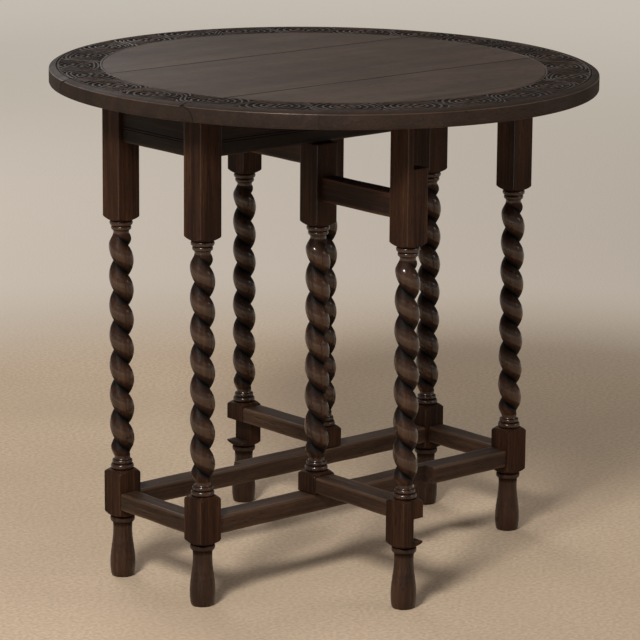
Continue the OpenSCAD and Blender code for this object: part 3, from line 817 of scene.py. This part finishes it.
def top_relief(theta, d):
    """Height of the top's surface over TOP_Z and its carve value.

    They go by the angle and by the distance in from the edge; the heights are 0 or less.
    """
    half_turn = np.abs((theta + math.pi) % TAU - math.pi)
    u = half_turn / math.pi * ROUNDELS
    v = (BAND_OUT + BAND_IN) / 2 - d
    height = carving(u, v)
    x_end = np.minimum(u, ROUNDELS - u) * UNIT
    leaf, inside = end_leaf(x_end, v)
    height = height * (1 - inside) + leaf
    rng = np.random.default_rng(SEED)
    waver = sum(rng.uniform(0.02, 0.05) * np.sin(k * theta + rng.uniform(0, TAU))
                for k in (5, 11, 23, 41))
    height = np.clip(height * (0.93 + waver), 0, 1)
    wall = smooth((d - BAND_OUT) / BAND_WALL) * smooth((BAND_IN - d) / BAND_WALL)
    carved = -GROUND * (1 - height) * wall
    groove = -GROOVE_DEEP * np.clip(1 - np.abs(d - GROOVE_AT) / 1.1, 0, 1)
    line = -LINE_DEEP * np.clip(1 - np.abs(d - LINE_AT) / 0.9, 0, 1)
    slope_in = np.clip((THUMB_W - d) / THUMB_W, 0, 1)
    thumb = -THUMB_DROP * (0.35 * slope_in + 0.65 * slope_in ** 2.2)
    # Carve value: low on the carving's ground, in the groove and the line and on the margin, where the
    # oak paints shade.
    carve_shade = np.clip(1 - (1 - height) * wall + 0.45 * groove + 0.8 * line, 0, 1)
    carve_shade = np.where(d < BAND_OUT, np.minimum(carve_shade, MARGIN_SHADE), carve_shade)
    return carved + groove + line + thumb, carve_shade


def oval_point(theta, d):
    """Point of the oval's plan at a distance in from the edge."""
    nx, ny = np.cos(theta) / TOP_A, np.sin(theta) / TOP_B
    size = np.hypot(nx, ny)
    return TOP_A * np.cos(theta) - d * nx / size, TOP_B * np.sin(theta) - d * ny / size


def carved_rows(theta):
    """Rows of the top's surface from the arris inwards to the plain field, with carve values."""
    rows = BAND_ROWS
    band = np.linspace(BAND_OUT + BAND_WALL, BAND_IN - BAND_WALL, rows)
    margin = [0.4, 1.0, 2.2, 3.8, 5.6, 7.6, 9.4, 10.2, GROOVE_AT, 12.4, 13.2]
    half_wall = BAND_WALL / 2
    inward = np.concatenate([margin, [BAND_OUT, BAND_OUT + half_wall], band,
                             [BAND_IN - half_wall, BAND_IN, LINE_AT - 0.9, LINE_AT, FIELD_AT]])
    t, d = np.meshgrid(theta, inward)
    x, y = oval_point(t, d)
    drop, carve_shade = top_relief(t, d)
    return np.stack([x, y, TOP_Z + drop], axis=-1), carve_shade


def rim_rows(theta):
    """Rows of the rim, from the eased lower edge up to the arris."""
    rows = []
    for z, inset in ((TOP_UNDER, 2.0), (TOP_UNDER + 0.6, 0.7), (TOP_UNDER + 2.0, 0.05),
                     (TOP_UNDER + 9, 0.0), (TOP_UNDER + 15, 0.0), (ARRIS_Z - 1.0, 0.0),
                     (ARRIS_Z - 0.4, 0.1)):
        x, y = oval_point(theta, inset)
        rows.append(np.stack([x, y, np.full(len(theta), z)], axis=-1))
    return np.array(rows)


def field_rows(theta):
    """Rows of the plain field, closing in on its centre."""
    x, y = oval_point(theta, FIELD_AT)
    return np.array([np.stack([x * scale, y * scale, np.full(len(theta), TOP_Z)], axis=-1)
                     for scale in (0.94, 0.8, 0.55, 0.3, 0.12)])


def patchy_rim(cols):
    """Wear round the rim, uneven as old polish is."""
    rng = np.random.default_rng(SEED + 7)
    patches_at, patches = np.linspace(0, cols, RIM_PATCHES), rng.uniform(-1, 1, RIM_PATCHES)
    patches[-1] = patches[0]
    return RIM_WEAR + PATCH_WEAR * np.interp(np.arange(cols), patches_at, patches)


def top_blank():
    """The whole oval top as one closed solid with its carved border, before it is sawn apart."""
    cols = ROUND_COLS
    theta = np.arange(cols) * TAU / cols
    rims = rim_rows(theta)
    carved, carve_shade = carved_rows(theta)
    rings = np.concatenate([rims, carved, field_rows(theta)])
    rows = len(rings)
    verts = np.concatenate([rings.reshape(-1, 3), [[0, 0, TOP_Z], [0, 0, TOP_UNDER]]])
    faces = grid_faces(rows, cols)
    last = (rows - 1) * cols
    centre_top, centre_low = rows * cols, rows * cols + 1
    faces += [[last + c, last + (c + 1) % cols, centre_top] for c in range(cols)]
    faces += [[(c + 1) % cols, c, centre_low] for c in range(cols)]
    blank = make_object("top_blank", verts, faces, 30)
    start = len(rims) * cols
    arris = slice(start - cols, start + cols)
    carve_shades = np.ones(len(verts))
    # The rim's side gets a low carve value: painted shade.
    carve_shades[cols:start] = RIM_SHADE
    carve_shades[start:start + carve_shade.size] = carve_shade.reshape(-1)
    # The arris rows are kept out of the painted shade and lightened: a painted highlight along the edge.
    carve_shades[arris] = 1.0
    wear_and_shading = np.full(len(verts), TOP_WEAR)
    wear_and_shading[:start] = np.tile(patchy_rim(cols), len(rims))
    wear_and_shading[:cols] = PLAIN_WEAR
    wear_and_shading[arris] = ARRIS_HIGHLIGHT
    return with_attribute(with_attribute(blank, "carve", carve_shades), "wear_and_shading", wear_and_shading)


RULE_Y, RULE_Z, RULE_R = 132.0, 715.0, 18.0    # axis and radius of the rule joint
RULE_GAP = 1.2
WORN_EDGE = 0.8                      # chamfer of the worn edges along the joint
JOINT_SHADE_REACH, JOINT_SHADE_DEEP = 1.7, 5       # how far to each side of the joint, and down, the painted shade of the joint reaches
SEAM_Y = 300.0                       # glued seam between the two boards of a leaf
SEAM_GAP = 0.12
CUT_ABOVE, CUT_BELOW = TOP_Z + PAST, TOP_UNDER - PAST
CUTTER_HALF = 500.0
POCKET_LOW = 700                     # the pockets' cutters start below the top
PLATE_TOP, KNUCKLE_TOP, KNUCKLE_HALF = 714.1, 718.5, 3.7
PLATE_FIT, KNUCKLE_FIT = 0.1, 0.5


def arc_points(y, z, r, a0, a1, n=14):
    """Points of an arc from angle a0 to a1, in degrees."""
    return [(y + r * math.cos(math.radians(a0 + (a1 - a0) * i / n)),
             z + r * math.sin(math.radians(a0 + (a1 - a0) * i / n))) for i in range(n + 1)]


def panel_outline():
    """Section of the fixed panel: square step above, rounded thumb below, on both sides."""
    right = [(RULE_Y + RULE_R, CUT_BELOW), (RULE_Y + RULE_R, RULE_Z)]
    right += arc_points(RULE_Y, RULE_Z, RULE_R, 4, 90)
    right += [(RULE_Y, TOP_Z - WORN_EDGE), (RULE_Y - WORN_EDGE, TOP_Z),
              (RULE_Y - WORN_EDGE, CUT_ABOVE)]
    left = [(-y, z) for y, z in right[::-1]]
    return right + left


def inner_leaf_outline(side):
    """Section of the hinged board: hollow cut round the panel's thumb, straight glued edge."""
    r = RULE_R + RULE_GAP
    start = math.degrees(math.acos(RULE_GAP / r))
    edge = RULE_Y + RULE_GAP
    points = [(edge + WORN_EDGE, CUT_ABOVE), (edge + WORN_EDGE, TOP_Z), (edge, TOP_Z - WORN_EDGE)]
    points += arc_points(RULE_Y, RULE_Z, r, start, 0)
    points += [(RULE_Y + r, CUT_BELOW), (SEAM_Y - SEAM_GAP, CUT_BELOW),
               (SEAM_Y - SEAM_GAP, CUT_ABOVE)]
    return [(side * y, z) for y, z in points]


def outer_leaf_outline(side):
    """Section of the outer board, from its glued edge to past the end of the oval."""
    y0, y1 = SEAM_Y + SEAM_GAP, TOP_B + 30
    return [(side * y, z) for y, z in ((y0, CUT_BELOW), (y1, CUT_BELOW), (y1, CUT_ABOVE),
                                       (y0, CUT_ABOVE))]


def cut_board(blank, node, outline, pockets, material, joint_shade_material):
    """One board of the top: the blank within an outline, less its hinge pockets."""
    obj = blank.copy()
    obj.data = blank.data.copy()
    obj.name = "v_" + node
    bpy.context.scene.collection.objects.link(obj)
    boolean(obj, prism_x(outline, CUTTER_HALF), "INTERSECT")
    for lo, hi in pockets:
        boolean(obj, box_cutter(lo, hi), "DIFFERENCE")
    obj.data.name = obj.name
    obj.data.shade_smooth()
    obj.data.set_sharp_from_angle(angle=math.radians(30))
    stand_in(obj, node, "oak_top", material)
    obj.data.materials.append(joint_shade_material)
    dirty_joint(obj.data, 1)


def dirty_joint(mesh, slot):
    """Puts the upright and chamfered faces along the rule joint in a slot: painted shade in the joint,
    where the faces are also a little dirty.
    """
    for face in mesh.polygons:
        off = abs(abs(face.center.y) / MM - RULE_Y - RULE_GAP / 2)
        high = face.center.z / MM > TOP_Z - JOINT_SHADE_DEEP
        if off < JOINT_SHADE_REACH and face.normal.z < 0.9 and high:
            face.material_index = slot


def hinge_pockets(on_leaf, sides):
    """Boxes sunk for the hinges, each a little larger than the CAD plate or knuckle in it."""
    boxes = []
    for side_name in sides:
        for end_name in ENDS:
            lo, hi = box_mm(f"hinge_{side_name}_{end_name}_" + ("leaf" if on_leaf else "fixed"))
            pocket = leaf_pocket if on_leaf else panel_pockets
            boxes += pocket(lo, hi, SIDES[side_name])
    return boxes


def leaf_pocket(lo, hi, side):
    """Pocket of one hinge in the leaf, for the plate only; the knuckle is in the panel."""
    low, high = (lo[1] - PLATE_FIT, hi[1] - 3) if side < 0 else (lo[1] + 3, hi[1] + PLATE_FIT)
    return [((lo[0] - PLATE_FIT, low, POCKET_LOW), (hi[0] + PLATE_FIT, high, PLATE_TOP))]


def panel_pockets(lo, hi, side):
    """Pockets of one hinge in the panel: the plate, the knuckle and the other plate's way out."""
    x0, x1 = lo[0] - KNUCKLE_FIT, hi[0] + KNUCKLE_FIT
    out = sorted((side * (RULE_Y + 2), side * (RULE_Y + RULE_R + 2)))
    spans = ((lo[1] - PLATE_FIT, hi[1] + PLATE_FIT, PLATE_TOP),
             (side * RULE_Y - KNUCKLE_HALF, side * RULE_Y + KNUCKLE_HALF, KNUCKLE_TOP),
             (out[0], out[1], RULE_Z))
    return [((x0, y0, POCKET_LOW), (x1, y1, top)) for y0, y1, top in spans]


def build_top(mats, dirt):
    """The five boards of the top, all cut from one blank so that the carving runs across them."""
    blank = top_blank()
    cut_board(blank, "top_panel", panel_outline(), hinge_pockets(False, SIDES), mats[0], dirt)
    for name, side in SIDES.items():
        cut_board(blank, f"leaf_{name}_inner", inner_leaf_outline(side),
                  hinge_pockets(True, [name]), mats[1 if side < 0 else 2], dirt)
        cut_board(blank, f"leaf_{name}_outer", outer_leaf_outline(side), [],
                  mats[3 if side < 0 else 4], dirt)
    bpy.data.objects.remove(blank)


# ---------------------------------------------------------------- scene


def build_frame(mats):
    """Legs, aprons, stretchers and gates; the seed makes each piece a little different."""
    seed = 10
    for side_name, side in SIDES.items():
        for end_name in ENDS:
            leg(f"leg_{side_name}_{end_name}", seed, mats["legs"][seed % 3])
            seed += 1
        apron(f"apron_{side_name}", 0, side, seed + 10, mats["along_x"])
        stretcher(f"stretcher_{side_name}", 0, side, seed + 20, mats["worn_x"])
        gate_post(f"gate_{side_name}_post", seed + 30, mats["legs"][(seed + 1) % 3])
        gate_leg(f"gate_{side_name}_leg", side, seed + 40, mats["legs"][seed % 3])
        gate_board(f"gate_{side_name}_rail", seed + 50, RAIL_EDGE, mats["rail"])
        gate_board(f"gate_{side_name}_stretcher", seed + 60, STRETCHER_EDGE, mats["worn_y"])
    for end_name, end in ENDS.items():
        apron(f"apron_{end_name}", 1, end, seed + 70, mats["along_y"])
        stretcher(f"stretcher_{end_name}", 1, end, seed + 80, mats["worn_y"])
        seed += 1


BLOCK_BEVEL, HINGE_BEVEL = 0.0009, 0.0003      # in metres


def finish_cad_nodes(block_mat, iron_mat):
    """Blocks, hinges, pins and screws keep their CAD shape and get a finish; wooden blocks and hinge
    plates get eased edges.
    """
    for name, obj in frame["nodes"].items():
        if obj.hide_render:
            continue
        wooden = name in ("glue_blocks", "gate_stop_front", "gate_stop_back")
        obj.data.materials.clear()
        obj.data.materials.append(block_mat if wooden else iron_mat)
        if wooden or name.startswith("hinge_") and name.endswith(("_fixed", "_leaf")):
            bevel = obj.modifiers.new("eased", "BEVEL")
            bevel.width = BLOCK_BEVEL if wooden else HINGE_BEVEL
            bevel.segments = 2
            bevel.limit_method = "ANGLE"


def build_materials():
    """All finishes; sets of one wood differ in grain, so that no two boards look alike."""
    dark_oak = (srgb(34, 18, 10), srgb(62, 37, 22), srgb(98, 66, 44))
    # Darker oak for the aprons: painted shade under the top.
    shaded_oak = (srgb(20, 12, 8), srgb(37, 24, 16), srgb(60, 43, 31))
    worn_oak = (srgb(42, 27, 18), srgb(70, 49, 35), srgb(104, 80, 62))
    field_oak = (srgb(57, 41, 32), srgb(77, 58, 46), srgb(97, 77, 64))
    raw_oak = (srgb(44, 32, 24), srgb(72, 54, 40), srgb(98, 78, 60))
    # Near-black wood for the faces along the rule joint: painted shade in the joint, which is also a
    # little dirty.
    joint_dirt = (srgb(8, 5, 4), srgb(12, 8, 6), srgb(18, 13, 10))
    mats = {
        "legs": [oak(f"oak_leg_{i}", 2, *dark_oak, 20 + i, 0.36, specular=0.14,
                     coat=1.0, edge=0.15, groove=0.62)
                 for i in range(3)],
        "along_x": oak("oak_apron_x", 0, *shaded_oak, 30, 0.45),
        "along_y": oak("oak_apron_y", 1, *shaded_oak, 31, 0.45),
        "rail": oak("oak_rail", 1, *dark_oak, 34, 0.42),
        "worn_x": oak("oak_stretcher_x", 0, *worn_oak, 32, 0.42),
        "worn_y": oak("oak_stretcher_y", 1, *worn_oak, 33, 0.42),
    }
    mats["dirt"] = oak("joint_dirt", 0, *joint_dirt, 50, 0.7)
    mats["top"] = [oak(f"oak_top_{i}", 0, *field_oak, 40 + i, 0.34, relief="carve",
                       specular=0.27) for i in range(5)]
    mats["blocks"] = oak("oak_blocks", 0, *raw_oak, 60, gloss=0.6, wear_and_shading=None)
    mats["iron"] = iron("old_iron", 7)
    return mats


def area_light(name, location, target, size, power, colour):
    """Round soft light aimed at a target."""
    data = bpy.data.lights.new(name, "AREA")
    data.shape = "DISK"
    data.size = size
    data.energy = power
    data.color = colour
    obj = bpy.data.objects.new(name, data)
    bpy.context.scene.collection.objects.link(obj)
    obj.location = location
    aim = Vector(target) - Vector(location)
    obj.rotation_euler = aim.to_track_quat("-Z", "Y").to_euler()


FLOOR_HALF = 9.0


def build_stage():
    """Pale floor, soft lights and a dim warm surround, in metres."""
    corners = np.array([(-1, -1, 0), (1, -1, 0), (1, 1, 0), (-1, 1, 0)]) * FLOOR_HALF / MM
    floor = make_object("floor", corners, [(0, 1, 2, 3)])
    floor.data.materials.append(carpet("pale_floor"))
    world = bpy.data.worlds.new("studio")
    bpy.context.scene.world = world
    world.use_nodes = True
    background = world.node_tree.nodes["Background"]
    background.inputs["Color"].default_value = (1.0, 0.94, 0.87, 1.0)
    background.inputs["Strength"].default_value = 0.2
    area_light("key", (-2.9, -1.5, 3.0), (0, 0, 0.5), 0.9, 130, (1.0, 0.96, 0.90))
    area_light("fill", (2.6, -3.2, 2.2), (0, 0, 0.4), 2.0, 16, (1.0, 0.97, 0.93))
    area_light("back", (0.8, 3.2, 2.6), (0, 0, 0.5), 2.0, 34, (1.0, 0.98, 0.96))


def plain_colours():
    """Shows colours as they are, with no film look over them."""
    view = bpy.context.scene.view_settings
    view.view_transform = "Standard"
    view.look = "None"


CAMERA_AT = (-3.288, -3.789, 1.521)
YAW, PITCH, ROLL = (math.radians(a) for a in (-40.93, -13.07, 0.46))


def build_camera():
    """Camera at the angle of the reference view."""
    data = bpy.data.cameras.new("camera")
    data.sensor_width = 36.0
    data.lens = 195.5
    data.clip_end = 50
    camera = bpy.data.objects.new("camera", data)
    bpy.context.scene.collection.objects.link(camera)
    turn = (Matrix.Rotation(YAW, 4, "Z") @ Matrix.Rotation(math.pi / 2 + PITCH, 4, "X")
            @ Matrix.Rotation(ROLL, 4, "Z"))
    camera.matrix_world = Matrix.Translation(CAMERA_AT) @ turn
    bpy.context.scene.camera = camera


build_camera()
plain_colours()
build_stage()
materials = build_materials()
build_top(materials["top"], materials["dirt"])
build_frame(materials)
finish_cad_nodes(materials["blocks"], materials["iron"])
